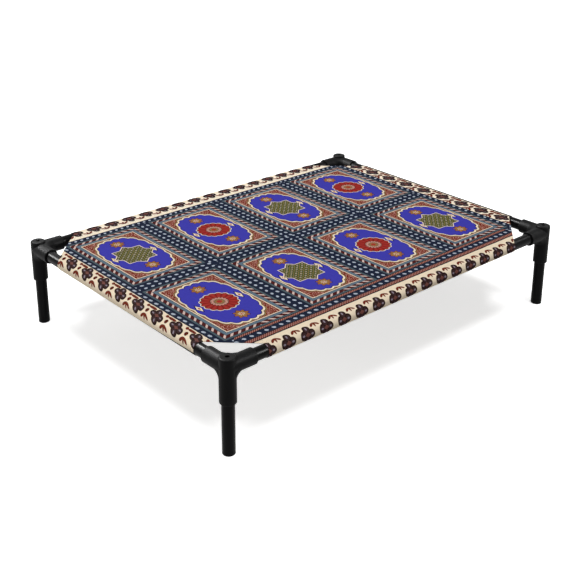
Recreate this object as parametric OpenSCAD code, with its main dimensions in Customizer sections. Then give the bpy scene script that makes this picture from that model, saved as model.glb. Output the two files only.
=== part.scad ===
// Raised dog cot: a tube frame on four legs, joined by moulded corner fittings,
// with a canvas sling stretched over the rails in sewn sleeves.
// X runs along the length, Y along the width and Z up.
// The origin is on the floor, under the middle of the cot.

/* [Overall] */
// Length over the corner fittings
cot_length = 1016; // [700:2:1300]
// Width over the corner fittings
cot_width = 752; // [500:2:1000]
// Height from the floor to the crown of a corner fitting
cot_height = 210; // [180:1:320]

/* [Tube] */
// Outside diameter of the rails and legs
tube_od = 26.7; // [22:0.1:32]
// Wall of the rails and legs
tube_wall = 2.9; // [2:0.1:4]

/* [Corner fitting] */
// Wall around each socket
socket_wall = 3.8; // [3:0.1:5.5]
// Gap between a tube and its socket, on each side
socket_clearance = 0.1; // [0.05:0.05:0.3]
// Depth of the two rail sockets
rail_socket_depth = 40; // [30:1:55]
// Depth of the leg socket
leg_socket_depth = 55; // [35:1:65]
// Solid core between the socket ends
core_wall = 7.65; // [6:0.05:10]
// How far the crown stands above the rail arms
crown_stand = 3.75; // [3:0.25:10]
// Rounding of the crown's edge
crown_round = 3.5; // [1.5:0.5:6]
// Rounding of the socket lips
lip_round = 1.4; // [0.8:0.1:2.2]
// Inside radius of the swept web between the two rail arms
web_radius = 24; // [16:1:30]
// Inside radius of the swept webs between the rail arms and the barrel
drop_radius = 14; // [10:1:22]
// How far the webs lie inside the arms that they join
web_inset = 0.6; // [0.3:0.1:1.2]

/* [Leg screw] */
// Thread diameter of the screw
screw_d = 5; // [4:0.5:6]
// Diameter of the screw head
head_d = 8.5; // [7:0.5:10]
// Height of the screw head
head_h = 5; // [3:0.5:6]
// Depth of the head's top below the crown
head_recess = 4; // [2:0.5:8]
// Gap around the screw head, on each side
head_clearance = 0.4; // [0.2:0.1:0.8]
// Gap around the screw's shank, on each side
shank_clearance = 0.25; // [0.15:0.05:0.5]
// Width across the flats of the key socket
key_width = 4; // [3:0.5:5]
// Depth of the key socket
key_depth = 2.5; // [1.5:0.5:3]
// Length of thread inside the insert
thread_grip = 14; // [8:1:18]

/* [Leg insert and foot] */
// Gap between the leg's bore and a plug, on each side
plug_clearance = 0.1; // [0.05:0.05:0.3]
// Thickness of the insert's flange
insert_flange = 2; // [1.5:0.5:4]
// Length of the insert below its flange
insert_length = 22; // [20:1:35]
// Gap between the screw and the insert's thread, on each side
thread_clearance = 0.1; // [0.05:0.05:0.2]
// Thickness of the foot below the leg
foot_flange = 4; // [3:0.5:8]
// Rounding of the foot's lower edge
foot_round = 2.5; // [1:0.5:2.5]
// Rounding of the foot's upper edge
foot_edge = 0.3; // [0.1:0.1:0.4]
// Length of the foot's spigot
spigot_length = 20; // [14:1:35]
// Wall of the foot's spigot
spigot_wall = 2.4; // [1.6:0.2:4]
// Number of barbs around a plug
barb_count = 3; // [2:1:4]
// Spacing of the barbs
barb_pitch = 4.5; // [3.5:0.5:6]
// Depth of the groove between barbs
barb_depth = 0.8; // [0.4:0.1:1.2]

/* [Sling] */
// Thickness of the canvas
cloth = 0.9; // [0.6:0.1:1.6]
// Gap between the canvas and a rail
cloth_gap = 0.3; // [0.2:0.1:0.6]
// Rail axis to the seam that closes a sleeve
seam_offset = 38; // [30:1:55]
// Width of the turned hem beyond the seam
hem_width = 12; // [6:1:20]
// Leg axis to the line of the sling's corner cut, along each rail
corner_cut = 103; // [96:1:140]
// How far inboard of the rail axis the corner cut starts
cut_start = 6; // [2:1:12]

/* [Hidden] */
$fn = 96;

// Extra length of a cut where it leaves a solid
overcut = 1;

// Corners by name, with the sides of X and Y that they stand on
CORNERS = [
    ["front_left", -1, -1],
    ["front_right", 1, -1],
    ["back_left", -1, 1],
    ["back_right", 1, 1]
];

// Tube
tube_r = tube_od / 2;
bore_r = tube_r - tube_wall;

// Corner fitting, about the point where its three axes meet
socket_r = tube_r + socket_clearance;
arm_r = socket_r + socket_wall;
stop_reach = tube_r + core_wall;
arm_reach = stop_reach + rail_socket_depth;
skirt_drop = stop_reach + leg_socket_depth;
crown_rise = arm_r + crown_stand;
web_r = arm_r - web_inset;

// Places of the axes
leg_x = cot_length / 2 - arm_r;
leg_y = cot_width / 2 - arm_r;
rail_z = cot_height - crown_rise;

// Leg, from the foot's flange up to the insert's flange
leg_stop_z = rail_z - stop_reach;
leg_length = leg_stop_z - insert_flange - foot_flange;
plug_r = bore_r - plug_clearance;

// Screw, from its head's seat down into the insert
head_seat_z = cot_height - head_recess - head_h;
screw_tip_z = leg_stop_z - insert_flange - thread_grip;

// Sling sleeve, about the rail axis, and the flat panel that it is sewn to
sleeve_ri = tube_r + cloth_gap;
sleeve_ro = sleeve_ri + cloth;
panel_x = leg_x - seam_offset - hem_width / 2;
panel_y = leg_y - seam_offset - hem_width / 2;

// Point where the lower tangent from p touches a circle of radius r about the origin
function touch_angle(p, r) = atan2(p[1], p[0]) - acos(r / norm(p));
function lower_touch(p, r) = r * [cos(touch_angle(p, r)), sin(touch_angle(p, r))];

// Round post along Z from z0 to z1, with its two ends rounded
module rounded_post(r, z0, z1, round0, round1) {
    height = z1 - z0;
    rotate_extrude() intersection() {
        translate([0, z0]) square([r, height]);
        union() {
            translate([0, z0 + round0]) square([r, height - round0 - round1]);
            translate([0, z0]) square([r - round0, height - round1]);
            translate([0, z0 + round0]) square([r - round1, height - round0]);
            translate([r - round0, z0 + round0]) circle(round0);
            translate([r - round1, z1 - round1]) circle(round1);
        }
    }
}

// Plug body that grips the bore of a leg, from z = 0 upwards, with barbs near its tip
module barbed_plug(length) {
    rotate_extrude() {
        square([plug_r, length - barb_count * barb_pitch]);
        for (i = [1 : barb_count]) {
            translate([0, length - i * barb_pitch]) polygon([
                [0, 0],
                [plug_r, 0],
                [plug_r - barb_depth, barb_pitch],
                [0, barb_pitch]
            ]);
        }
    }
}

// Swept web of a fitting, in the corner between its +X and +Y arms
module swept_web(radius) {
    sweep = radius + arm_r;
    translate([sweep, sweep, 0]) rotate([0, 0, 180]) {
        rotate_extrude(angle = 90) translate([sweep, 0]) circle(web_r);
    }
}

// One socket along Z, from its stop out through its mouth
module socket(depth) {
    translate([0, 0, stop_reach]) cylinder(r = socket_r, h = depth + overcut);
}

// Corner fitting for the front left corner: arms along +X and +Y, barrel down to the leg
module corner_fitting() {
    color("#1b1b1c") translate([0, 0, rail_z]) difference() {
        union() {
            rounded_post(arm_r, -skirt_drop, crown_rise, lip_round, crown_round);
            rotate([0, 90, 0]) rounded_post(arm_r, 0, arm_reach, lip_round, lip_round);
            rotate([-90, 0, 0]) rounded_post(arm_r, 0, arm_reach, lip_round, lip_round);
            swept_web(web_radius);
            rotate([-90, 0, 0]) swept_web(drop_radius);
            rotate([0, 90, 0]) swept_web(drop_radius);
        }
        rotate([0, 90, 0]) socket(rail_socket_depth);
        rotate([-90, 0, 0]) socket(rail_socket_depth);
        rotate([180, 0, 0]) socket(leg_socket_depth);
        // Screw hole with its counterbore in the crown
        translate([0, 0, -skirt_drop]) {
            cylinder(d = screw_d + 2 * shank_clearance, h = skirt_drop + crown_rise);
        }
        translate([0, 0, head_seat_z - rail_z]) {
            cylinder(d = head_d + 2 * head_clearance, h = head_h + head_recess + overcut);
        }
    }
}

// Plain tube along Z
module tube(length) {
    difference() {
        cylinder(r = tube_r, h = length);
        translate([0, 0, -overcut]) cylinder(r = bore_r, h = length + 2 * overcut);
    }
}

// Rail along X, seated on the stops of two fittings whose leg axes are 2 * reach apart
module rail(reach) {
    length = 2 * (reach - stop_reach);
    color("#202021") rotate([0, 90, 0]) translate([0, 0, -length / 2]) tube(length);
}

module leg() {
    color("#202021") translate([0, 0, foot_flange]) tube(leg_length);
}

// Threaded plug in the leg's top, with a flange on the leg's end
module leg_insert() {
    depth = insert_flange + insert_length;
    color("#2b2b2c") translate([0, 0, leg_stop_z]) mirror([0, 0, 1]) difference() {
        union() {
            cylinder(r = tube_r, h = insert_flange);
            translate([0, 0, insert_flange]) barbed_plug(insert_length);
        }
        translate([0, 0, -overcut]) cylinder(d = screw_d + 2 * thread_clearance, h = depth + 2 * overcut);
    }
}

// Socket-head screw, head down in the crown's counterbore
module leg_screw() {
    color("#3a3a3c") difference() {
        union() {
            translate([0, 0, screw_tip_z]) cylinder(d = screw_d, h = head_seat_z - screw_tip_z);
            translate([0, 0, head_seat_z]) cylinder(d = head_d, h = head_h);
        }
        translate([0, 0, head_seat_z + head_h - key_depth]) {
            cylinder(d = key_width / cos(30), h = key_depth + overcut, $fn = 6);
        }
    }
}

// Plug foot: a rounded pad below the leg and a hollow barbed spigot inside it
module foot() {
    color("#161617") difference() {
        union() {
            rounded_post(tube_r, 0, foot_flange, foot_round, foot_edge);
            translate([0, 0, foot_flange]) barbed_plug(spigot_length);
        }
        translate([0, 0, foot_flange]) cylinder(r = plug_r - spigot_wall, h = spigot_length + overcut);
    }
}

// Section of a sleeve about its rail, with the seam and the turned hem towards +X
module sleeve_section() {
    seam_over = [seam_offset, sleeve_ri];
    seam_under = [seam_offset, sleeve_ri - cloth];
    difference() {
        union() {
            circle(sleeve_ro);
            polygon([
                [0, 0],
                lower_touch(seam_under, sleeve_ro),
                seam_under,
                [seam_offset, sleeve_ro],
                [0, sleeve_ro]
            ]);
            translate(seam_under) square([hem_width, 2 * cloth]);
        }
        circle(sleeve_ri);
        polygon([[0, 0], lower_touch(seam_over, sleeve_ri), seam_over, [0, sleeve_ri]]);
    }
}

// Two facing sleeves along X, on rails that lie 2 * reach apart
module sleeve_pair(reach, length) {
    rotate([90, 0, 90]) linear_extrude(height = length, center = true) {
        for (side = [-1, 1]) {
            translate([side * reach, 0]) mirror([side > 0 ? 1 : 0, 0]) sleeve_section();
        }
    }
}

// Plan of what is cut away at the front left corner: square to the rails over the
// sleeves and at 45 degrees across the panel
module corner_cutout() {
    sleeve_end = corner_cut - cut_start;
    polygon([
        [-corner_cut, -corner_cut],
        [sleeve_end, -corner_cut],
        [sleeve_end, cut_start],
        [cut_start, sleeve_end],
        [-corner_cut, sleeve_end]
    ]);
}

// Canvas sling: one panel with a sleeve folded under and sewn along each side
module sling() {
    color("#3b3a9e") translate([0, 0, rail_z]) difference() {
        union() {
            translate([0, 0, sleeve_ri]) linear_extrude(height = cloth) {
                square([2 * panel_x, 2 * panel_y], center = true);
            }
            sleeve_pair(leg_y, 2 * panel_x);
            rotate([0, 0, 90]) sleeve_pair(leg_x, 2 * panel_y);
        }
        translate([0, 0, -corner_cut]) for (corner = CORNERS) {
            at_corner(corner) linear_extrude(height = 2 * corner_cut) corner_cutout();
        }
    }
}

// Moves a piece made for the front left leg to a corner, turned to face the cot's middle
module at_corner(corner) {
    translate([corner[1] * leg_x, corner[2] * leg_y, 0]) {
        mirror([corner[1] > 0 ? 1 : 0, 0, 0]) mirror([0, corner[2] > 0 ? 1 : 0, 0]) children();
    }
}

sling();
translate([0, -leg_y, rail_z]) rail(leg_x);  // rail_front
translate([0, leg_y, rail_z]) rail(leg_x);  // rail_back
translate([-leg_x, 0, rail_z]) rotate([0, 0, 90]) rail(leg_y);  // rail_left
translate([leg_x, 0, rail_z]) rotate([0, 0, 90]) rail(leg_y);  // rail_right
for (corner = CORNERS) {
    at_corner(corner) corner_fitting();
    at_corner(corner) leg();
    at_corner(corner) leg_insert();
    at_corner(corner) leg_screw();
    at_corner(corner) foot();
}
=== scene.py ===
import math

import bpy
from mathutils import Matrix, Vector


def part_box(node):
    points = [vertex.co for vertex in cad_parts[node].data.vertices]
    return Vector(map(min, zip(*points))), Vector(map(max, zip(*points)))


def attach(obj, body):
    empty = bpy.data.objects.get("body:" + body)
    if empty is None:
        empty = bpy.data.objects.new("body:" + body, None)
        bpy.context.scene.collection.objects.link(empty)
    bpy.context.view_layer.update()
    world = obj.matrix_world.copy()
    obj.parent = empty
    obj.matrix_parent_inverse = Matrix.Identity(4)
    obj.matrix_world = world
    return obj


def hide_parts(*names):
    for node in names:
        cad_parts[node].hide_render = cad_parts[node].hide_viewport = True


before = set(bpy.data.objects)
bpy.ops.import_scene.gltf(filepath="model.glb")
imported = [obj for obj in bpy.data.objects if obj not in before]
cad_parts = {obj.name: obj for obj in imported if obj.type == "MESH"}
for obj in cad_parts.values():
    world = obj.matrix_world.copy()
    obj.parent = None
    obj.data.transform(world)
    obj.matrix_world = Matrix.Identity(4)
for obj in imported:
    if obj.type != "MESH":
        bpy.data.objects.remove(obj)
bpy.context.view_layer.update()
bpy.ops.object.select_all(action="DESELECT")
print("frame loaded,", len(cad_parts), "CAD nodes")

# places taken from the CAD nodes, in metres
tubeLow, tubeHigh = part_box("rail_front")
tubeRadius = (tubeHigh.z - tubeLow.z) / 2
railZ = (tubeHigh.z + tubeLow.z) / 2
railY = -(tubeHigh.y + tubeLow.y) / 2
sideLow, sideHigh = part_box("rail_right")
railX = (sideHigh.x + sideLow.x) / 2


def hexLinear(code):
    steps = [int(code[i:i + 2], 16) / 255 for i in (1, 3, 5)]
    return [c / 12.92 if c <= 0.04045 else ((c + 0.055) / 1.055) ** 2.4 for c in steps] + [1.0]


# adds one node ("Math ADD" picks its operation too), links or sets its inputs, and hands back one output;
# a Mix node's inputs are 0 for the factor, 2 and 3 for values, 6 and 7 for colours
def addNode(tree, kind, inputs=(), out=0, **settings):
    kind, _, operation = kind.partition(" ")
    node = tree.nodes.new("ShaderNode" + kind)
    if operation:
        node.operation = operation
    for name, value in settings.items():
        setattr(node, name, value)
    for socket, value in inputs.items() if isinstance(inputs, dict) else enumerate(inputs):
        if isinstance(value, bpy.types.NodeSocket):
            tree.links.new(value, node.inputs[socket])
        else:
            node.inputs[socket].default_value = value
    return node.outputs[out] if node.outputs else node


def startMaterial(name):
    material = bpy.data.materials.new(name)
    material.use_nodes = True
    material.node_tree.nodes.clear()
    return material, material.node_tree


# camera, at the photograph's viewing angle
cameraSet = {
    "place": (-1.5109, -1.6807, 1.1556),
    "azimuth": -41.371,
    "elevation": 19.615,
    "roll": 0.236,
    "sensor": 36.0,
    "lens": 64.163,
    "shift": -0.1905,       # the picture is the lower part of a taller view
}
bpy.ops.object.camera_add()
camera = bpy.context.object
camera.name = "camera"
camera.data.sensor_width = cameraSet["sensor"]
camera.data.lens = cameraSet["lens"]
camera.data.shift_y = cameraSet["shift"]
camera.matrix_world = (
    Matrix.Translation(cameraSet["place"])
    @ Matrix.Rotation(math.radians(cameraSet["azimuth"]), 4, "Z")
    @ Matrix.Rotation(math.radians(90 - cameraSet["elevation"]), 4, "X")
    @ Matrix.Rotation(math.radians(cameraSet["roll"]), 4, "Z")
)
bpy.context.scene.camera = camera
print("camera set")

# floor, lamps and world
stageSet = {
    "floorSize": 30.0,
    "floorGlow": 0.620,         # what the floor keeps in the shadow
    "floorShade": 1.0,          # what the lamps add to it
    "floorBounce": 0.38,        # share of light that the floor throws back on the object
    "keyStrength": 2.45,
    "keyAngle": 26.5,
    "keyLean": (0.04, 0.10),    # the shadow falls this much to the right and back, per metre of height
    "ambient": 0.13,
    "aim": (0.0, 0.0, 0.1),     # the lamps face this place
}
lampSet = {
    # place, size, power, and the rays that pass it by
    "leftWindow": ((-2.6, 0.2, 0.6), (1.4, 1.0), 13.0, "visible_transmission"),
    "frontFill": ((-1.2, -2.6, 0.6), (2.4, 1.0), 13.0, "visible_glossy"),
    "backFill": ((0.3, 1.0, 0.9), (2.0, 0.3), 1.3, "visible_glossy"),
    "backStrip": ((-1.1, 2.2, 2.6), (0.6, 3.2), 360.0, "visible_diffuse"),
    "rightStrip": ((2.4, -1.8, 2.6), (2.4, 0.5), 74.0, "visible_diffuse"),
    "nearStrip": ((-0.33, 1.4, 2.05), (0.5, 0.5), 142.0, "visible_diffuse"),
    "frontStrip": ((1.0, -2.0, 1.4), (0.6, 0.6), 78.0, "visible_diffuse"),
}
plainWhite = (1, 1, 1, 1)
bpy.context.scene.view_settings.view_transform = "Standard"


# 1 for the rays that show the floor or the world itself: straight, mirrored or through something clear
def seenRays(tree):
    paths = addNode(tree, "LightPath").node.outputs
    seen = addNode(tree, "Math MAXIMUM", [paths["Is Camera Ray"], paths["Is Glossy Ray"]])
    return addNode(tree, "Math MAXIMUM", [seen, paths["Is Transmission Ray"]])


bpy.ops.mesh.primitive_plane_add(size=stageSet["floorSize"])
floor = bpy.context.object
floor.name = "floor"
floorPaper, tree = startMaterial("whiteStudioPaper")  # matt seamless paper: only the soft shadow shows
paper = addNode(tree, "BsdfDiffuse", {"Color": [stageSet["floorBounce"]] * 3 + [1]})
shade = addNode(tree, "BsdfDiffuse", {"Color": [stageSet["floorShade"]] * 3 + [1]})
glow = addNode(tree, "Emission", {"Color": plainWhite, "Strength": stageSet["floorGlow"]})
shown = addNode(tree, "AddShader", [glow, shade])
addNode(tree, "OutputMaterial", [addNode(tree, "MixShader", [seenRays(tree), paper, shown])])
floor.data.materials.append(floorPaper)

bpy.ops.object.light_add(type="SUN")  # overhead softbox, far enough to be even
key = bpy.context.object
key.name = "overheadKey"
key.data.energy = stageSet["keyStrength"]
key.data.angle = math.radians(stageSet["keyAngle"])
key.rotation_euler = Vector((*stageSet["keyLean"], -1)).to_track_quat("-Z", "Y").to_euler()

for name, (place, size, power, unseenBy) in lampSet.items():
    bpy.ops.object.light_add(type="AREA", location=place)
    panel = bpy.context.object
    panel.name = name
    panel.data.shape = "RECTANGLE"
    panel.data.size, panel.data.size_y = size
    panel.data.energy = power
    setattr(panel, unseenBy, False)
    panel.rotation_euler = (Vector(stageSet["aim"]) - Vector(place)).to_track_quat("-Z", "Y").to_euler()

world = bpy.data.worlds.new("studio")
bpy.context.scene.world = world
world.use_nodes = True
tree = world.node_tree
tree.nodes.clear()
fill = addNode(tree, "Background", {"Color": plainWhite, "Strength": stageSet["ambient"]})
white = addNode(tree, "Background", {"Color": plainWhite, "Strength": 1.0})
addNode(tree, "OutputWorld", [addNode(tree, "MixShader", [seenRays(tree), fill, white])])
print("stage set")

# frame plastics: grain counts the relief's bumps to a metre, and depth is in metres
plasticSet = {
    "fitting": {"colour": "#070707", "light": "#0e0e0f", "rough": (0.40, 0.52), "specular": 0.04,
                "grain": 850, "depth": 0.0003},
    "tube": {"colour": "#050505", "light": "#0a0a0b", "rough": (0.20, 0.30), "specular": 0.042,
             "grain": 700, "depth": 0.00015},
    "foot": {"colour": "#080808", "light": "#101010", "rough": (0.5, 0.64), "specular": 0.06,
             "grain": 600, "depth": 0.0004},
    "insert": {"colour": "#0c0c0c", "light": "#141414", "rough": (0.5, 0.62), "specular": 0.12,
               "grain": 700, "depth": 0.0003},
    "ior": 1.5,
    "clouds": 28,           # to a metre, about 36 mm each
    "relief": 0.35,
    "dieLines": 0.02,       # the tube's grain is drawn out fifty times along it
}
noiseSpan = (0.3, 0.7)      # where most of a noise texture's values lie


# moulded or extruded black plastic: cloudy tone and gloss, and a fine relief stretched by the tool marks
def blackPlastic(name, look, stretch=(1, 1, 1)):
    material, tree = startMaterial(name)
    spot = addNode(tree, "TexCoord", out=3)
    cloud = addNode(tree, "TexNoise", {"Vector": spot, "Scale": plasticSet["clouds"], "Detail": 3})
    tone = addNode(tree, "Mix", {0: cloud, 6: hexLinear(look["colour"]), 7: hexLinear(look["light"])},
                   out=2, data_type="RGBA")
    drawn = addNode(tree, "Mapping", {"Vector": spot, "Scale": stretch})
    relief = addNode(tree, "TexNoise", {"Vector": drawn, "Scale": look["grain"], "Detail": 2})
    gloss = addNode(tree, "MapRange", [relief, *noiseSpan, *look["rough"]])
    bump = addNode(tree, "Bump", {"Strength": plasticSet["relief"], "Distance": look["depth"], "Height": relief})
    skin = addNode(tree, "BsdfPrincipled", {"Base Color": tone, "Roughness": gloss, "IOR": plasticSet["ior"],
                                            "Specular IOR Level": look["specular"], "Normal": bump})
    addNode(tree, "OutputMaterial", [skin])
    return material


# polypropylene, moulded: the spark-eroded mould leaves a fine even grain (0.4 mm, drawn at 1.2 mm to show)
fittingPlastic = blackPlastic("mouldedPolypropylene", plasticSet["fitting"])
# rigid PVC tube, extruded: smooth, with faint die lines along it
tubePlastic = {
    axis: blackPlastic("extrudedTubePvc" + axis, plasticSet["tube"],
                       [plasticSet["dieLines"] if axis == along else 1 for along in "XYZ"])
    for axis in "XYZ"
}
# soft polyethylene plugs: dull and a little cloudy from handling
footPlastic = blackPlastic("mouldedPolyethylene", plasticSet["foot"])
# nylon, moulded: a hard dull plug with a little more sheen
insertPlastic = blackPlastic("mouldedNylon", plasticSet["insert"])

# black oxide steel: a thin dark skin with a soft metallic sheen, stained in spots of about 1 mm
screwSet = {"colour": "#1c1c1f", "light": "#303034", "rough": (0.36, 0.52), "stain": 900}
screwSteel, tree = startMaterial("blackOxideSteel")
spot = addNode(tree, "TexCoord", out=3)
stain = addNode(tree, "TexNoise", {"Vector": spot, "Scale": screwSet["stain"], "Detail": 3})
tone = addNode(tree, "Mix", {0: stain, 6: hexLinear(screwSet["colour"]), 7: hexLinear(screwSet["light"])},
               out=2, data_type="RGBA")
gloss = addNode(tree, "MapRange", [stain, *noiseSpan, *screwSet["rough"]])
skin = addNode(tree, "BsdfPrincipled", {"Base Color": tone, "Metallic": 1.0, "Roughness": gloss})
addNode(tree, "OutputMaterial", [skin])

railAxis = {"rail_front": "X", "rail_back": "X", "rail_left": "Y", "rail_right": "Y"}
for name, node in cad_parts.items():
    if name.startswith("corner_fitting"):
        finish = fittingPlastic
    elif name.startswith("leg_screw"):
        finish = screwSteel
    elif name.startswith("leg_insert"):
        finish = insertPlastic
    elif name.startswith("foot"):
        finish = footPlastic
    elif name != "sling":
        finish = tubePlastic[railAxis.get(name, "Z")]
    else:
        continue
    node.material_slots[0].material = finish
print("frame finished in plastic and steel")

# canvas sling, cut flat and folded round the rails
slingSet = {
    "cloth": 0.0009,
    "gap": 0.0003,          # air between the rail and the canvas
    "seamOffset": 0.024,    # rail axis to the seam that closes a sleeve
    "seamGap": 0.00005,     # between the panel and the hem turned under it
    # the flaps' ends slope in: from this part of the wrap, by this much, over this length
    "slope": (0.75, 0.5, 0.06),
    "hem": 0.012,
    "cutStart": 0.006,      # the corner cuts start this far inboard of the rail axes
    "panelStep": 0.010,
    "wrapSteps": 24,
    "riseSteps": 6,
    "hemSteps": 2,
    "foldRadius": 0.0005,   # turned edge of the corner cuts
    "foldSteps": 5,
    "turnSteps": 3,
    "sag": 0.002,
    "ripple": 0.0004,
    # the ripple's waves across and along: radians to a metre, how far they wander, and the wander's radians
    "waves": ((31, 1.7, 11), (23, 1.3, 9)),
    "smoothAngle": 40,
    # leg axis to the ends of the corner cuts, as sewn: along the long rail, along the short rail
    "cutEnds": {(-1, -1): (0.0905, 0.0875), (1, -1): (0.1113, 0.0987),
                (-1, 1): (0.0925, 0.0970), (1, 1): (0.1170, 0.1040)},
    # how far each cut runs on round its sleeves at 45 degrees, in the same order
    "cutLead": {(-1, -1): (0.0, 0.0), (1, -1): (0.016, 0.0), (-1, 1): (0.0, 0.0175), (1, 1): (0.0, 0.0)},
}
tiny, near = 1e-6, 1e-5     # places that count as the same, in metres
cloth = slingSet["cloth"]
seamOffset = slingSet["seamOffset"]
foldRadius = slingSet["foldRadius"]
wrapRadius = tubeRadius + slingSet["gap"] + cloth / 2        # middle of the canvas on the rail
seamRise = wrapRadius - cloth - slingSet["seamGap"]          # middle of the turned hem, just under the panel
seamReach = math.hypot(seamOffset, seamRise)
wrapTurn = math.radians(270) + math.atan2(seamRise, seamOffset) - math.acos(wrapRadius / seamReach)
wrapLength = wrapRadius * wrapTurn
riseLength = math.sqrt(seamReach ** 2 - wrapRadius ** 2)     # straight run from the rail up to the seam
edgeX, edgeY = railX - slingSet["cutStart"], railY - slingSet["cutStart"]
panelZ = railZ + wrapRadius

# each corner's cut: its start on the long side, its end on the short side, and the way out of the panel
cuts = {}
for (sx, sy), (longEnd, shortEnd) in slingSet["cutEnds"].items():
    start = Vector((sx * (railX - longEnd), sy * edgeY))
    end = Vector((sx * edgeX, sy * (railY - shortEnd)))
    cuts[sx, sy] = start, end, (end - start).orthogonal().normalized() * sx * sy


# outward distance and height from the rail axis, for a flat distance past the rail's top line
def sleevePoint(past, lift):
    if past <= wrapLength:
        turn = past / wrapRadius
        return (wrapRadius + lift) * math.sin(turn), (wrapRadius + lift) * math.cos(turn)
    normal = Vector((math.sin(wrapTurn), math.cos(wrapTurn)))
    seam = Vector((-seamOffset, seamRise))
    run = past - wrapLength
    if run <= riseLength:
        return normal * (wrapRadius + lift) + (seam - normal * wrapRadius) * (run / riseLength)
    return seam.x - (run - riseLength), seam.y - lift


# the taut canvas gives a little and ripples faintly between the rails
def clothGive(x, y):
    slack = max(0, 1 - (x / railX) ** 2) * max(0, 1 - (y / railY) ** 2)
    (rateX, wanderX, driftY), (rateY, wanderY, driftX) = slingSet["waves"]
    wave = (math.sin(rateX * x + wanderX * math.sin(driftY * y))
            * math.sin(rateY * y + wanderY * math.sin(driftX * x)))
    return slack * (slingSet["sag"] + slingSet["ripple"] * wave)


# a place on the flat cut, and a lift above the printed face, once the canvas is folded
def foldedPoint(x, y, lift=0.0):
    sx, sy = int(math.copysign(1, x)), int(math.copysign(1, y))
    start, end, outward = cuts[sx, sy]
    past = (Vector((x, y)) - start).dot(outward)
    if past > tiny and abs(x) > abs(start.x) + tiny and abs(y) > abs(end.y) + tiny:
        turn = min(past / foldRadius, math.pi)
        reach = (foldRadius + lift) * math.sin(turn) - (past - turn * foldRadius)
        flat = Vector((x, y)) - outward * (past - reach)
        point = Vector((flat.x, flat.y, panelZ + (foldRadius + lift) * math.cos(turn) - foldRadius))
    elif abs(y) > railY:
        out, rise = sleevePoint(abs(y) - railY, lift)
        point = Vector((x, sy * (railY + out), railZ + rise))
    elif abs(x) > railX:
        out, rise = sleevePoint(abs(x) - railX, lift)
        point = Vector((sx * (railX + out), y, railZ + rise))
    else:
        point = Vector((x, y, panelZ + lift))
    point.z -= clothGive(point.x, point.y)
    return point


bpy.ops.mesh.primitive_grid_add(
    x_subdivisions=round(2 * edgeX / slingSet["panelStep"]),
    y_subdivisions=round(2 * edgeY / slingSet["panelStep"]), size=1, calc_uvs=False)
sling = bpy.context.object
sling.name = "canvas_sling"
bpy.ops.object.mode_set(mode="EDIT")
bpy.ops.transform.resize(value=(2 * edgeX, 2 * edgeY, 1))
for start, end, outward in cuts.values():
    bpy.ops.mesh.select_all(action="SELECT")
    bpy.ops.mesh.bisect(plane_co=(*start, 0), plane_no=(*outward, 0), clear_outer=True)


# selects the cut edges whose two ends both pass the test, and draws them out flat in steps
def drawFlap(test, direction, steps):
    bpy.ops.mesh.select_mode(type="EDGE")
    bpy.ops.mesh.select_all(action="DESELECT")
    bpy.ops.object.mode_set(mode="OBJECT")
    points = sling.data.vertices
    for edge in sling.data.edges:
        edge.select = all(test(points[i].co) for i in edge.vertices)
    bpy.ops.object.mode_set(mode="EDIT")
    for step in steps:
        bpy.ops.mesh.extrude_edges_move(TRANSFORM_OT_translate={"value": [step * d for d in direction]})


flapSteps = ([slingSet["cutStart"]] + [wrapLength / slingSet["wrapSteps"]] * slingSet["wrapSteps"]
             + [riseLength / slingSet["riseSteps"]] * slingSet["riseSteps"]
             + [slingSet["hem"] / slingSet["hemSteps"]] * slingSet["hemSteps"])
turnSteps = ([math.pi * foldRadius / slingSet["foldSteps"]] * slingSet["foldSteps"]
             + [slingSet["hem"] / slingSet["turnSteps"]] * slingSet["turnSteps"])
for sign in (-1, 1):
    drawFlap(lambda p: abs(p.y - sign * edgeY) < near, (0, sign, 0), flapSteps)
    drawFlap(lambda p: abs(p.x - sign * edgeX) < near, (sign, 0, 0), flapSteps)
for start, end, outward in cuts.values():
    drawFlap(lambda p: abs((p.xy - start).dot(outward)) < near, (*outward, 0), turnSteps)
bpy.ops.object.mode_set(mode="OBJECT")


# how far a flap's end is drawn in, past the rail's top line: along the long rail or the short rail
def slopeIn(past, corner, rail):
    first, rate, _ = slingSet["slope"]
    lead = min(past + slingSet["cutStart"], slingSet["cutLead"][corner][rail])
    return max(0, lead) + max(0, past - first * wrapLength) * rate


for vertex in sling.data.vertices:      # sloped ends keep the flaps' corners out of sight in the openings
    x, y = vertex.co.xy
    corner = int(math.copysign(1, x)), int(math.copysign(1, y))
    overX, overY = abs(x) - abs(cuts[corner][0].x), abs(y) - abs(cuts[corner][1].y)
    room = slingSet["slope"][2]
    if overX > tiny and overY > tiny:   # turned edge of the cut
        continue
    if abs(y) > edgeY + tiny:
        vertex.co.x -= math.copysign(max(0, overX + room) / room * slopeIn(abs(y) - railY, corner, 0), x)
    elif abs(x) > edgeX + tiny:
        vertex.co.y -= math.copysign(max(0, overY + room) / room * slopeIn(abs(x) - railX, corner, 1), y)

flatCut = sling.data.uv_layers.new(name="flatCut")  # print follows the flat cut, in metres
for loop in sling.data.loops:
    flatCut.data[loop.index].uv = sling.data.vertices[loop.vertex_index].co.xy
for vertex in sling.data.vertices:
    vertex.co = foldedPoint(vertex.co.x, vertex.co.y)

thick = sling.modifiers.new("canvas", "SOLIDIFY")
thick.thickness = cloth
thick.offset = 0
thick.material_offset = 1   # unprinted back

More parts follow.
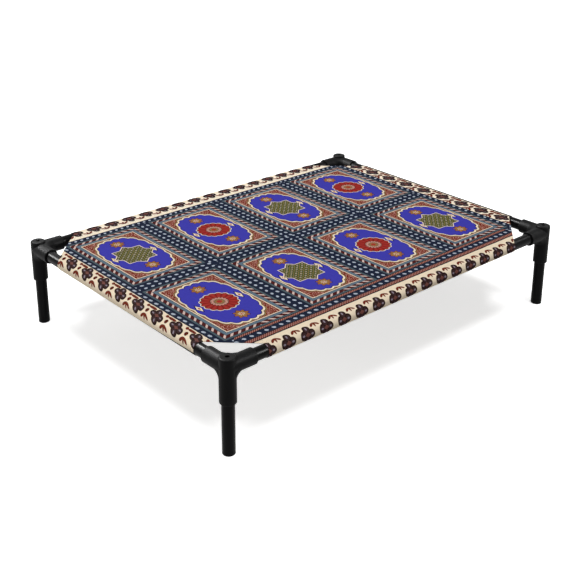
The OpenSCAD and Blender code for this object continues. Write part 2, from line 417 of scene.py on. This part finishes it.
# printed carpet pattern, drawn in millimetres on the flat cut
perMetre = 1000                     # millimetres
farOff = 1000                       # moves a motif away where it isn't printed
printSet = {
    "centre": (-11.9, -12.8),       # the print lies a little off the panel's middle
    "fieldHalf": (456.75, 329.25),  # inner edge of the cream border
    "creep": 1.6,                   # ink creeps along the yarns
    "creepScale": 0.06,
    "frameBand": 17.0,
    "cordWidth": 15.0,
    "cordPitch": 5.0,
    "cordShare": 0.5,
    # cords beside the front band and their outlines: measured from, middle, half width, colour
    "cords": (("inside", 21.8, 4.6, "line"), ("inside", 22.0, 3.0, "rope"),
              ("across", -8.0, 7.0, "line"), ("across", -8.4, 4.6, "rope")),
    # the frame's dots: left, right, front, back
    "dotPitch": (20.2, 20.0, 18.9, 16.0),
    "dotAlong": (5.4, 4.0, 3.9, 3.4),
    "dotAcross": (3.2, 3.6, 3.9, 4.0),
    "dotSlant": 0.3,
    "cells": (228.4, 317.0),        # carpet compartments, four by two
    "cellShift": 12.3,
    "cellBand": 16.5,
    "cellPitch": 18.0,              # dots round the compartments: spacing, size, and line in from the edge
    "cellDot": (4.4, 3.4),
    "cellDotLine": 7.6,
    # from the compartment's ground out to the band
    "rings": ((27.9, "cream"), (25.6, "line"), (24.6, "paleSlate"), (17.0, "line"), (16.0, "barber"),
              (7.0, "line"), (6.2, "slate"), (1.0, "line"), (0.0, "navy")),
    "barberPitch": 19.0,
    "barberShare": 0.64,
    "scrollScale": 0.085,
    "scrollDetail": 0.6,
    "scrollCurl": 0.8,
    "scrollTurns": 9,
    "scrollWidth": 0.13,
    "medal": (68.5, 111.5),
    "medalPower": 2.6,
    "lobes": 10,
    "lobeDepth": 0.045,
    "medalRings": ((0.985, "gold"), (0.965, "line"), (0.952, "cream"), (0.905, "line"), (0.888, "blue")),
    "starRings": ((38.0, "cream"), (35.8, "line"), (34.4, "lattice")),
    "latticePitch": 15.0,
    "latticeBar": 0.44,             # in shares of the pitch, as are the knots
    "latticeKnot": 0.25,
    "latticeHeart": 0.16,
    "flutes": 8,
    "fluteDepth": 3.5,
    "bloomRings": ((40.0, "cream"), (37.8, "line"), (36.4, "flutes"), (17.5, "line"), (16.0, "scroll"),
                   (9.5, "line"), (8.0, "gold"), (4.0, "red")),
    "rosetteLine": 73.0,
    "rosetteLeaves": 8,
    "rosetteDepth": 2.5,
    "rosetteRings": ((16.5, "line"), (15.0, "ochre"), (9.0, "gold"), (5.2, "cream"), (3.0, "red")),
    "budLine": 52.0,
    "budSize": (6.0, 15.0),
    "budRings": ((1.3, "line"), (1.0, "cream"), (0.4, "red")),
    # the paler cream is painted light, for the right and back borders
    "cream": "#ead9bf", "paintedLitCream": "#f9ead3", "navy": "#182033", "dot": "#aeb7c5", "line": "#1a1216",
    "brick": "#6e2416", "scroll": "#bd8c7d", "red": "#a2302a", "darkRed": "#741816",
    "slate": "#485860", "paleSlate": "#5d707e",
    "blue": "#3d3ba6", "gold": "#8f7344", "ochre": "#9a6236", "green": "#2c4827", "cord": "#a87b6e",
    "barberDark": "#4a1b1b", "barberLight": "#d3b8ae",
}
borderSet = {
    # four values are for the left, right, front and back
    "paintedLightShare": (0.0, 1.0, 0.0, 1.0),               # painted light: the cream is paler on the right and at the back, standing in for brighter light there
    "pitch": (66.9, 64.4, 49.9, 50.2),          # between florets
    "phase": (19.2, 18.8, 11.0, 18.0),          # first floret
    "line": (20.6, 21.4, 35.2, 33.0),           # florets' line out from the field
    "stretchAlong": (1.25, 1.22, 1.0, 1.04),
    "stretchAcross": (1.08, 1.04, 1.14, 1.10),
    "slant": 0.52, "tilt": 0.16,                # the left border is printed askew
    "petalPlace": 9.8, "petalRadius": 8.7, "innerRadius": 5.6,
    "eyePlace": 11.2, "eyeRadius": (1.8, 0.9, 1.8, 1.1), "eyeStretch": 1.7,
    "heart": 4.6, "heartStretch": 1.5,
    "clawLine": (-14.0, 16.8),                  # short sides from the florets' line, long sides from the field
    "clawStretch": (1.0, 1.1, 0.88, 1.0),
    "clawDepth": (1.0, 1.2, 1.0, 1.1),
    "strokePlace": (6.8, 0.8, 0.0), "strokeSize": (7.8, 3.0, 1.0), "strokeTurn": -38,
    "stemPlace": (0.0, 1.5, 0.0), "stemSize": (2.6, 6.8, 1.0),
    "leafPlace": (-8.0, 14.5), "leafLength": 13.5, "leafWidth": (4.0, 5.2, 1.0, 1.0),
    "budPlace": (8.5, 14.5), "budRadius": (4.6, 5.6, 1.0, 1.0),
    "berrySize": (4.7, 6.4), "berryShare": (1.0, 1.25, 1.0, 1.0),
    "shadeLine": (58.6, 47.0, -farOff, -farOff),  # painted shade: a dark line out from the field, where the short sleeves turn away into shade; none on the long sides
    "shadeLineSkew": (-0.026, 0.0, 0.0, 0.0), "shadeLineHalf": 4.6,
    "petal": "#2b1b19", "inner": "#3c2a2b", "eye": "#8a7f8a", "core": "#70463f",
    "sprig": "#6d2d20", "berry": "#541a0e", "edge": "#2b2925",
}
inks = {name: hexLinear(code) for name, code in (*printSet.items(), *borderSet.items()) if isinstance(code, str)}
halfX, halfY = printSet["fieldHalf"]
cellX, cellY = printSet["cells"]

ink = bpy.data.node_groups.new("carpetPrint", "ShaderNodeTree")
ink.interface.new_socket("Colour", in_out="OUTPUT", socket_type="NodeSocketColor")
cut = addNode(ink, "UVMap", uv_map="flatCut")
middle = [-m for m in printSet["centre"]] + [0]
flat = addNode(ink, "VectorMath MULTIPLY_ADD", [cut, (perMetre, perMetre, 0), middle])
creep = addNode(ink, "TexNoise", {"Vector": flat, "Scale": printSet["creepScale"], "Detail": 1}, out=1)
creep = addNode(ink, "VectorMath SUBTRACT", [creep, (0.5, 0.5, 0.5)])
flat = addNode(ink, "VectorMath MULTIPLY_ADD", [creep, [printSet["creep"]] * 3, flat])
x = addNode(ink, "SeparateXYZ", [flat])
y = x.node.outputs[1]

# place in the frame: across it, out from the field's edge, and along it
offX = addNode(ink, "Math SUBTRACT", [addNode(ink, "Math ABSOLUTE", [x]), halfX])
offY = addNode(ink, "Math SUBTRACT", [addNode(ink, "Math ABSOLUTE", [y]), halfY])
onLong = addNode(ink, "Math GREATER_THAN", [offY, offX])
across = addNode(ink, "Math MAXIMUM", [offX, offY])
along = addNode(ink, "Mix", {0: onLong, 2: y, 3: x})
onFront = addNode(ink, "Math MULTIPLY", [onLong, addNode(ink, "Math LESS_THAN", [y, 0])])
onRight = addNode(ink, "Math GREATER_THAN", [x, 0])
onBack = addNode(ink, "Math GREATER_THAN", [y, 0])


# one value for each side of the frame: left, right, front, back
def bySide(values):
    shortSides = addNode(ink, "Mix", {0: onRight, 2: values[0], 3: values[1]})
    longSides = addNode(ink, "Mix", {0: onBack, 2: values[2], 3: values[3]})
    return addNode(ink, "Mix", {0: onLong, 2: shortSides, 3: longSides})


inside = addNode(ink, "Math MULTIPLY", [across, -1])
inside = addNode(ink, "Math MULTIPLY_ADD", [onFront, -printSet["cordWidth"], inside])

# place in a compartment, from its middle and in from its edge; every other one is odd
cell, count = [], []
for place, pitch, shift in ((x, cellX, 0), (y, cellY, printSet["cellShift"])):
    turn = addNode(ink, "Math DIVIDE", [addNode(ink, "Math SUBTRACT", [place, shift]), pitch])
    count.append(addNode(ink, "Math FLOOR", [turn]))
    cell.append(addNode(ink, "Math MULTIPLY_ADD", [addNode(ink, "Math FRACT", [turn]), pitch, -pitch / 2]))
cx, cy = cell
half = addNode(ink, "Math MULTIPLY", [addNode(ink, "Math ADD", count), 0.5])
odd = addNode(ink, "Math GREATER_THAN", [addNode(ink, "Math FRACT", [half]), 0.25])
foldX = addNode(ink, "Math ABSOLUTE", [cx])
foldY = addNode(ink, "Math ABSOLUTE", [cy])
sideX = addNode(ink, "Math SUBTRACT", [cellX / 2, foldX])
sideY = addNode(ink, "Math SUBTRACT", [cellY / 2, foldY])
side = addNode(ink, "Math MINIMUM", [sideX, sideY])
rim = addNode(ink, "Math SUBTRACT", [side, printSet["cellBand"]])

# brick ground with filigree scrolls, mirrored in each compartment
folded = addNode(ink, "CombineXYZ", [foldX, foldY, 0])
curls = addNode(ink, "TexNoise", {"Vector": folded, "Scale": printSet["scrollScale"],
                                  "Detail": printSet["scrollDetail"], "Distortion": printSet["scrollCurl"]})
curls = addNode(ink, "Math FRACT", [addNode(ink, "Math MULTIPLY", [curls, printSet["scrollTurns"]])])
curls = addNode(ink, "Math COMPARE", [curls, 0.5, printSet["scrollWidth"]])
colour = addNode(ink, "Mix", {0: curls, 6: inks["brick"], 7: inks["scroll"]}, out=2, data_type="RGBA")

# scalloped medallion, squarer than an ellipse
medal = [addNode(ink, "Math DIVIDE", [fold, size]) for fold, size in zip((foldX, foldY), printSet["medal"])]
bearing = addNode(ink, "Math ARCTAN2", [medal[1], medal[0]])
lobes = addNode(ink, "Math SINE", [addNode(ink, "Math MULTIPLY", [bearing, printSet["lobes"]])])
lobes = addNode(ink, "Math ABSOLUTE", [lobes])
reach = addNode(ink, "Math ADD", [addNode(ink, "Math POWER", [run, printSet["medalPower"]]) for run in medal])
reach = addNode(ink, "Math POWER", [reach, 1 / printSet["medalPower"]])
scallop = addNode(ink, "Math MULTIPLY_ADD", [lobes, -printSet["lobeDepth"], reach])

# eight-point star with a lattice, in the even compartments
boxed = addNode(ink, "Math MAXIMUM", [foldX, foldY])
turned = addNode(ink, "Math MULTIPLY", [addNode(ink, "Math ADD", [foldX, foldY]), math.sqrt(0.5)])
star = addNode(ink, "Math MINIMUM", [boxed, turned])
star = addNode(ink, "Math MULTIPLY_ADD", [odd, farOff, star])
grid = []
for run in (addNode(ink, "Math ADD", [cx, cy]), addNode(ink, "Math SUBTRACT", [cx, cy])):
    run = addNode(ink, "Math DIVIDE", [run, printSet["latticePitch"]])
    run = addNode(ink, "Math FRACT", [addNode(ink, "Math ADD", [run, 0.5])])
    grid.append(addNode(ink, "Math ABSOLUTE", [addNode(ink, "Math SUBTRACT", [run, 0.5])]))
bar = addNode(ink, "Math MAXIMUM", grid)
knot = addNode(ink, "Math ADD", grid)
tones = dict(inks, lattice=inks["green"])    # plain inks, and patterned ones as they are made
for rule, value, limit, tone in (("Math GREATER_THAN", bar, "latticeBar", "gold"),
                                 ("Math LESS_THAN", knot, "latticeKnot", "cream"),
                                 ("Math LESS_THAN", knot, "latticeHeart", "brick")):
    mask = addNode(ink, rule, [value, printSet[limit]])
    tones["lattice"] = addNode(ink, "Mix", {0: mask, 6: tones["lattice"], 7: inks[tone]}, out=2, data_type="RGBA")

# fluted red bloom in the odd compartments
spread = addNode(ink, "VectorMath LENGTH", [folded], out=1)
turn = addNode(ink, "Math ARCTAN2", [foldY, foldX])
flute = addNode(ink, "Math SINE", [addNode(ink, "Math MULTIPLY", [turn, printSet["flutes"]])])
flute = addNode(ink, "Math ABSOLUTE", [flute])
bloom = addNode(ink, "Math ADD", [spread, farOff])
bloom = addNode(ink, "Math MULTIPLY_ADD", [flute, -printSet["fluteDepth"], bloom])
bloom = addNode(ink, "Math MULTIPLY_ADD", [odd, -farOff, bloom])
tones["flutes"] = addNode(ink, "Mix", {0: flute, 6: inks["darkRed"], 7: inks["red"]}, out=2, data_type="RGBA")

# ochre rosettes above and below the middle, cream buds beside it
dropY = addNode(ink, "Math SUBTRACT", [foldY, printSet["rosetteLine"]])
rosette = addNode(ink, "VectorMath LENGTH", [addNode(ink, "CombineXYZ", [cx, dropY, 0])], out=1)
leaves = addNode(ink, "Math MULTIPLY", [addNode(ink, "Math ARCTAN2", [dropY, cx]), printSet["rosetteLeaves"]])
leaves = addNode(ink, "Math COSINE", [leaves])
rosette = addNode(ink, "Math MULTIPLY_ADD", [leaves, -printSet["rosetteDepth"], rosette])
budWidth, budHeight = printSet["budSize"]
budX = addNode(ink, "Math ABSOLUTE", [addNode(ink, "Math SUBTRACT", [foldX, printSet["budLine"]])])
bud = addNode(ink, "Math MULTIPLY_ADD", [budX, 1 / budWidth, addNode(ink, "Math DIVIDE", [foldY, budHeight])])

# barber stripe round each compartment, twisted the other way on its right
twist = addNode(ink, "Math DIVIDE", [addNode(ink, "Math ADD", [foldX, cy]), printSet["barberPitch"]])
twist = addNode(ink, "Math LESS_THAN", [addNode(ink, "Math FRACT", [twist]), printSet["barberShare"]])
tones["barber"] = addNode(ink, "Mix", {0: twist, 6: inks["barberLight"], 7: inks["barberDark"]},
                          out=2, data_type="RGBA")

for value, rings in ((scallop, "medalRings"), (rosette, "rosetteRings"), (bud, "budRings"), (star, "starRings"),
                     (bloom, "bloomRings"), (rim, "rings")):
    for limit, tone in printSet[rings]:
        mask = addNode(ink, "Math LESS_THAN", [value, limit])
        colour = addNode(ink, "Mix", {0: mask, 6: colour, 7: tones[tone]}, out=2, data_type="RGBA")
inFrame = addNode(ink, "Math LESS_THAN", [inside, printSet["frameBand"]])
colour = addNode(ink, "Mix", {0: inFrame, 6: colour, 7: inks["navy"]}, out=2, data_type="RGBA")

# slanted dots on the navy bands
upright = addNode(ink, "Math LESS_THAN", [sideX, sideY])
dotRun = addNode(ink, "Mix", {0: upright, 2: x, 3: y})
dotRun = addNode(ink, "Mix", {0: inFrame, 2: dotRun, 3: along})
dotOff = addNode(ink, "Mix", {0: inFrame, 2: addNode(ink, "Math SUBTRACT", [side, printSet["cellDotLine"]]),
                              3: addNode(ink, "Math SUBTRACT", [inside, printSet["frameBand"] / 2])})
dotPitch = addNode(ink, "Mix", {0: inFrame, 2: printSet["cellPitch"], 3: bySide(printSet["dotPitch"])})
dotTurn = addNode(ink, "Math FRACT", [addNode(ink, "Math DIVIDE", [dotRun, dotPitch])])
dotU = addNode(ink, "Math MULTIPLY", [addNode(ink, "Math SUBTRACT", [dotTurn, 0.5]), dotPitch])
dotU = addNode(ink, "Math MULTIPLY_ADD", [dotOff, printSet["dotSlant"], dotU])
oval = []
for run, cellSize, sizes in zip((dotU, dotOff), printSet["cellDot"], ("dotAlong", "dotAcross")):
    size = addNode(ink, "Mix", {0: inFrame, 2: cellSize, 3: bySide(printSet[sizes])})
    oval.append(addNode(ink, "Math DIVIDE", [run, size]))
oval = addNode(ink, "VectorMath LENGTH", [addNode(ink, "CombineXYZ", oval)], out=1)
onNavy = addNode(ink, "Math MAXIMUM", [addNode(ink, "Math LESS_THAN", [rim, 0]), inFrame])
dots = addNode(ink, "Math MULTIPLY", [addNode(ink, "Math LESS_THAN", [oval, 1]), onNavy])
colour = addNode(ink, "Mix", {0: dots, 6: colour, 7: inks["dot"]}, out=2, data_type="RGBA")

# twisted cords beside the front band
rope = addNode(ink, "Math DIVIDE", [addNode(ink, "Math ADD", [x, across]), printSet["cordPitch"]])
rope = addNode(ink, "Math LESS_THAN", [addNode(ink, "Math FRACT", [rope]), printSet["cordShare"]])
tones["rope"] = addNode(ink, "Mix", {0: rope, 6: inks["cord"], 7: inks["brick"]}, out=2, data_type="RGBA")
for start, centre, halfWidth, tone in printSet["cords"]:
    mask = addNode(ink, "Math COMPARE", [inside if start == "inside" else across, centre, halfWidth])
    mask = addNode(ink, "Math MULTIPLY", [mask, onFront])
    colour = addNode(ink, "Mix", {0: mask, 6: colour, 7: tones[tone]}, out=2, data_type="RGBA")

# cream border: v crosses it from the florets' line, towards +X on the short sides and outwards on the long ones
outside = addNode(ink, "Math GREATER_THAN", [across, 0])
# painted light: the right and back borders take the paler cream, as if lit brighter
ground = addNode(ink, "Mix", {0: bySide(borderSet["paintedLightShare"]), 6: inks["cream"], 7: inks["paintedLitCream"]},
                 out=2, data_type="RGBA")
colour = addNode(ink, "Mix", {0: outside, 6: colour, 7: ground}, out=2, data_type="RGBA")
v = addNode(ink, "Math SUBTRACT", [across, bySide(borderSet["line"])])
v = addNode(ink, "Mix", {0: onLong, 2: addNode(ink, "Math MULTIPLY", [v, addNode(ink, "Math SIGN", [x])]), 3: v})
onLeft = addNode(ink, "Math SUBTRACT", [1, addNode(ink, "Math MAXIMUM", [onLong, onRight])])
slant = addNode(ink, "Math MULTIPLY", [v, addNode(ink, "Math MULTIPLY", [onLeft, -borderSet["slant"]])])
repeat = bySide(borderSet["pitch"])
step = addNode(ink, "Math SUBTRACT", [addNode(ink, "Math ADD", [along, slant]), bySide(borderSet["phase"])])
step = addNode(ink, "Math DIVIDE", [step, repeat])
runs = []       # along the border from a floret, and from the gap between two
for shift in (0.5, 0.0):
    turn = addNode(ink, "Math FRACT", [addNode(ink, "Math ADD", [step, shift])])
    runs.append(addNode(ink, "Math MULTIPLY", [addNode(ink, "Math SUBTRACT", [turn, 0.5]), repeat]))
u, gap = runs

# four-petalled florets
tiltV = addNode(ink, "Math MULTIPLY_ADD", [u, addNode(ink, "Math MULTIPLY", [onLeft, -borderSet["tilt"]]), v])
petalU, petalV = [
    addNode(ink, "Math ABSOLUTE", [addNode(ink, "Math DIVIDE", [run, bySide(borderSet[size])])])
    for run, size in ((u, "stretchAlong"), (tiltV, "stretchAcross"))]
tip = addNode(ink, "Math MAXIMUM", [petalU, petalV])
flank = addNode(ink, "Math MINIMUM", [petalU, petalV])
heart = addNode(ink, "Math MULTIPLY_ADD", [petalU, 1 / borderSet["heartStretch"], petalV])
petal = addNode(ink, "CombineXYZ", [addNode(ink, "Math SUBTRACT", [tip, borderSet["petalPlace"]]), flank, 0])
petal = addNode(ink, "VectorMath LENGTH", [petal], out=1)
eye = addNode(ink, "Math SUBTRACT", [tip, borderSet["eyePlace"]])
eye = addNode(ink, "Math DIVIDE", [eye, borderSet["eyeStretch"]])
eye = addNode(ink, "VectorMath LENGTH", [addNode(ink, "CombineXYZ", [eye, flank, 0])], out=1)

# three-stroke claws between them
clawV = addNode(ink, "Mix", {0: onLong, 2: addNode(ink, "Math SUBTRACT", [borderSet["clawLine"][0], v]),
                             3: addNode(ink, "Math SUBTRACT", [across, borderSet["clawLine"][1]])})
clawU = addNode(ink, "Math DIVIDE", [addNode(ink, "Math ABSOLUTE", [gap]), bySide(borderSet["clawStretch"])])
clawV = addNode(ink, "Math DIVIDE", [clawV, bySide(borderSet["clawDepth"])])
claw = addNode(ink, "CombineXYZ", [clawU, clawV, 0])
stroke = addNode(ink, "VectorRotate", {"Vector": claw, "Center": borderSet["strokePlace"],
                                       "Angle": math.radians(borderSet["strokeTurn"])}, rotation_type="Z_AXIS")
strokes = []
for run, part in ((stroke, "stroke"), (claw, "stem")):
    run = addNode(ink, "VectorMath SUBTRACT", [run, borderSet[part + "Place"]])
    run = addNode(ink, "VectorMath DIVIDE", [run, borderSet[part + "Size"]])
    strokes.append(addNode(ink, "VectorMath LENGTH", [run], out=1))
claw = addNode(ink, "Math MINIMUM", strokes)

# leaf with a round bud, and a berry, on the short sides
place = addNode(ink, "CombineXYZ", [gap, v, addNode(ink, "Math MULTIPLY", [onLong, farOff])])
leaf = addNode(ink, "VectorMath SUBTRACT", [place, (*borderSet["leafPlace"], 0)])
leafSize = addNode(ink, "CombineXYZ", [borderSet["leafLength"], bySide(borderSet["leafWidth"]), 1])
leaf = addNode(ink, "VectorMath DIVIDE", [leaf, leafSize])
leaf = addNode(ink, "VectorMath LENGTH", [leaf], out=1)
leafBud = addNode(ink, "VectorMath DISTANCE", [place, (*borderSet["budPlace"], 0)], out=1)
berry = addNode(ink, "VectorMath DIVIDE", [place, (*borderSet["berrySize"], 1)])
berry = addNode(ink, "VectorMath LENGTH", [berry], out=1)

# painted shade: a dark line along the left sleeve's lower edge and the right sleeve's far side, where they turn
# into shade
edge = addNode(ink, "Math MULTIPLY_ADD", [along, bySide(borderSet["shadeLineSkew"]), across])
edge = addNode(ink, "Math COMPARE", [edge, bySide(borderSet["shadeLine"]), borderSet["shadeLineHalf"]])
colour = addNode(ink, "Mix", {0: edge, 6: colour, 7: inks["edge"]}, out=2, data_type="RGBA")
motifs = (
    (claw, 1.0, "sprig"),
    (leaf, 1.0, "sprig"),
    (leafBud, bySide(borderSet["budRadius"]), "sprig"),
    (berry, bySide(borderSet["berryShare"]), "berry"),
    (petal, borderSet["petalRadius"], "petal"),
    (petal, borderSet["innerRadius"], "inner"),
    (eye, bySide(borderSet["eyeRadius"]), "eye"),
    (heart, borderSet["heart"], "core"),
)
for value, limit, tone in motifs:
    mask = addNode(ink, "Math LESS_THAN", [value, limit])
    mask = addNode(ink, "Math MULTIPLY", [mask, outside])
    colour = addNode(ink, "Mix", {0: mask, 6: colour, 7: inks[tone]}, out=2, data_type="RGBA")

shown = ink.nodes.new("NodeGroupOutput")
ink.links.new(colour, shown.inputs[0])
print("print drawn,", len(ink.nodes), "nodes")

# canvas under the print
canvasSet = {
    "yarn": 0.0012,
    "slub": 160,                # thick places in the yarns, to a metre
    "slubSpan": (0.25, 0.75),
    "slubTone": (0.92, 1.06),
    # painted shade and light of the weave, on top of the slubs' own tone
    "weaveShade": (0.95, 1.03),
    "slubRelief": 0.6,          # next to the weave's own
    "relief": 0.3,
    "depth": 0.0002,
    "rough": (0.8, 0.92),
    "ior": 1.5,
    "specular": 0.01,
    # share of the print that shows, and the colour of the cloth under it
    "face": (1.0, "#efe9dc"),
    "back": (0.16, "#d8d2c6"),
}


# plain woven polyester canvas, printed: dull, with a close weave (0.6 mm yarns, drawn at 1.2 mm to show)
def canvas(name, bleed, ground):
    material, tree = startMaterial(name)
    printed = addNode(tree, "Group", node_tree=ink)
    cut = addNode(tree, "UVMap", uv_map="flatCut")
    yarn = addNode(tree, "VectorMath SCALE", {0: cut, "Scale": 2 * math.pi / canvasSet["yarn"]})
    yarnX, yarnY, _ = addNode(tree, "SeparateXYZ", [yarn]).node.outputs
    over = addNode(tree, "Math MULTIPLY", [addNode(tree, "Math SINE", [run]) for run in (yarnX, yarnY)])
    slub = addNode(tree, "TexNoise", {"Vector": cut, "Scale": canvasSet["slub"], "Detail": 4})
    tint = addNode(tree, "Mix", {0: bleed, 6: hexLinear(ground), 7: printed}, out=2, data_type="RGBA")
    mottleAndWeaveShade = addNode(tree, "MapRange", [slub, *canvasSet["slubSpan"], *canvasSet["slubTone"]])
    # painted shade: the colour darkens a little where the yarns dip and lightens where they ride over
    paintedWeaveShade = addNode(tree, "MapRange", [over, -1.0, 1.0, *canvasSet["weaveShade"]])
    mottleAndWeaveShade = addNode(tree, "Math MULTIPLY", [mottleAndWeaveShade, paintedWeaveShade])
    tint = addNode(tree, "VectorMath SCALE", {0: tint, "Scale": mottleAndWeaveShade})
    relief = addNode(tree, "Math MULTIPLY_ADD", [slub, canvasSet["slubRelief"], over])
    bump = addNode(tree, "Bump", {"Strength": canvasSet["relief"], "Distance": canvasSet["depth"],
                                  "Height": relief})
    gloss = addNode(tree, "MapRange", [slub, *noiseSpan, *canvasSet["rough"]])
    skin = addNode(tree, "BsdfPrincipled", {"Base Color": tint, "Roughness": gloss, "IOR": canvasSet["ior"],
                                            "Specular IOR Level": canvasSet["specular"], "Normal": bump})
    addNode(tree, "OutputMaterial", [skin])
    return material


sling.data.materials.append(canvas("printedCanvas", *canvasSet["face"]))
sling.data.materials.append(canvas("canvasBack", *canvasSet["back"]))   # the print shows faintly through the back
bpy.ops.object.select_all(action="DESELECT")
sling.select_set(True)
bpy.context.view_layer.objects.active = sling
bpy.ops.object.modifier_apply(modifier="canvas")
bpy.ops.object.shade_smooth_by_angle(angle=math.radians(slingSet["smoothAngle"]))
print("sling printed,", len(sling.data.polygons), "faces")

# lockstitch rows in dark thread, worked on the flat cut and folded with it
stitchSet = {"pitch": 0.0045, "length": 0.0037, "width": 0.0008, "height": 0.0004, "lift": 0.0001,
             "seamInsets": (0.002, 0.009), "endInset": 0.008, "cutInset": 0.009}
bpy.ops.mesh.primitive_ico_sphere_add(subdivisions=1, radius=0.5)
pattern = bpy.context.object
bpy.ops.object.mode_set(mode="EDIT")
bpy.ops.transform.resize(value=(stitchSet["length"], stitchSet["width"], stitchSet["height"]))
bpy.ops.object.mode_set(mode="OBJECT")
stitchPoints = [v.co.copy() for v in pattern.data.vertices]
stitchFaces = [tuple(f.vertices) for f in pattern.data.polygons]
bpy.data.objects.remove(pattern)

# polyester thread, twisted and dyed navy: a soft sheen along the strand, and plies of about 0.7 mm
threadSet = {"colour": "#191d2b", "light": "#2c3347", "rough": (0.45, 0.65), "ply": 1500,
             "ior": 1.5, "specular": 0.2, "sheen": 0.05}
threadDye, tree = startMaterial("twistedPolyesterThread")
spot = addNode(tree, "TexCoord", out=3)
ply = addNode(tree, "TexNoise", {"Vector": spot, "Scale": threadSet["ply"], "Detail": 2})
tone = addNode(tree, "Mix", {0: ply, 6: hexLinear(threadSet["colour"]), 7: hexLinear(threadSet["light"])},
               out=2, data_type="RGBA")
gloss = addNode(tree, "MapRange", [ply, *noiseSpan, *threadSet["rough"]])
skin = addNode(tree, "BsdfPrincipled", {
    "Base Color": tone, "Roughness": gloss, "IOR": threadSet["ior"],
    "Specular IOR Level": threadSet["specular"], "Sheen Weight": threadSet["sheen"]})
addNode(tree, "OutputMaterial", [skin])


def sewRows(name, rows):
    points, faces = [], []
    for start, end in rows:
        start, end = Vector(start), Vector(end)
        ahead = (end - start).normalized()
        aside = Vector((-ahead.y, ahead.x))
        count = int((end - start).length / stitchSet["pitch"])
        for i in range(count):
            centre = start + ahead * stitchSet["pitch"] * (i + 0.5)
            first = len(points)
            for p in stitchPoints:
                place = centre + ahead * p.x + aside * p.y
                points.append(foldedPoint(place.x, place.y, cloth / 2 + stitchSet["lift"] + p.z))
            faces += [[first + k for k in face] for face in stitchFaces]
    mesh = bpy.data.meshes.new(name)
    mesh.from_pydata(points, [], faces)
    piece = bpy.data.objects.new(name, mesh)
    bpy.context.scene.collection.objects.link(piece)
    piece.data.materials.append(threadDye)
    bpy.ops.object.select_all(action="DESELECT")
    piece.select_set(True)
    bpy.context.view_layer.objects.active = piece
    bpy.ops.object.shade_smooth()
    return piece


seamRows, hemRows = [], []
seamUnder = wrapLength + riseLength
slopeStart = slingSet["slope"][0] * wrapLength
for inset in stitchSet["seamInsets"]:
    for past in (-seamOffset - inset, seamUnder + inset):           # top of the panel, underside of the hem
        for sign in (-1, 1):
            seamRows.append([(cuts[sx, sign][0].x - sx * slopeIn(past, (sx, sign), 0), sign * (railY + past))
                             for sx in (-1, 1)])
            seamRows.append([(sign * (railX + past), cuts[sign, sy][1].y - sy * slopeIn(past, (sign, sy), 1))
                             for sy in (-1, 1)])
for (sx, sy), (start, end, outward) in cuts.items():
    inX, inY = start.x - sx * stitchSet["endInset"], end.y - sy * stitchSet["endInset"]
    for rail, lead in enumerate(slingSet["cutLead"][sx, sy]):
        bends = sorted({-slingSet["cutStart"], lead - slingSet["cutStart"], slopeStart, seamUnder})
        for row in zip(bends, bends[1:]):
            if rail == 0:
                hemRows.append([(inX - sx * slopeIn(past, (sx, sy), 0), sy * (railY + past)) for past in row])
            else:
                hemRows.append([(sx * (railX + past), inY - sy * slopeIn(past, (sx, sy), 1)) for past in row])
    hemRows.append((start - outward * stitchSet["cutInset"], end - outward * stitchSet["cutInset"]))
seamStitching = sewRows("seam_stitching", seamRows)
hemStitching = sewRows("hem_stitching", hemRows)
print("stitched,", len(seamStitching.data.polygons) + len(hemStitching.data.polygons), "faces")

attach(sling, "root")
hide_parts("sling")
for piece in (seamStitching, hemStitching):
    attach(piece, "root")
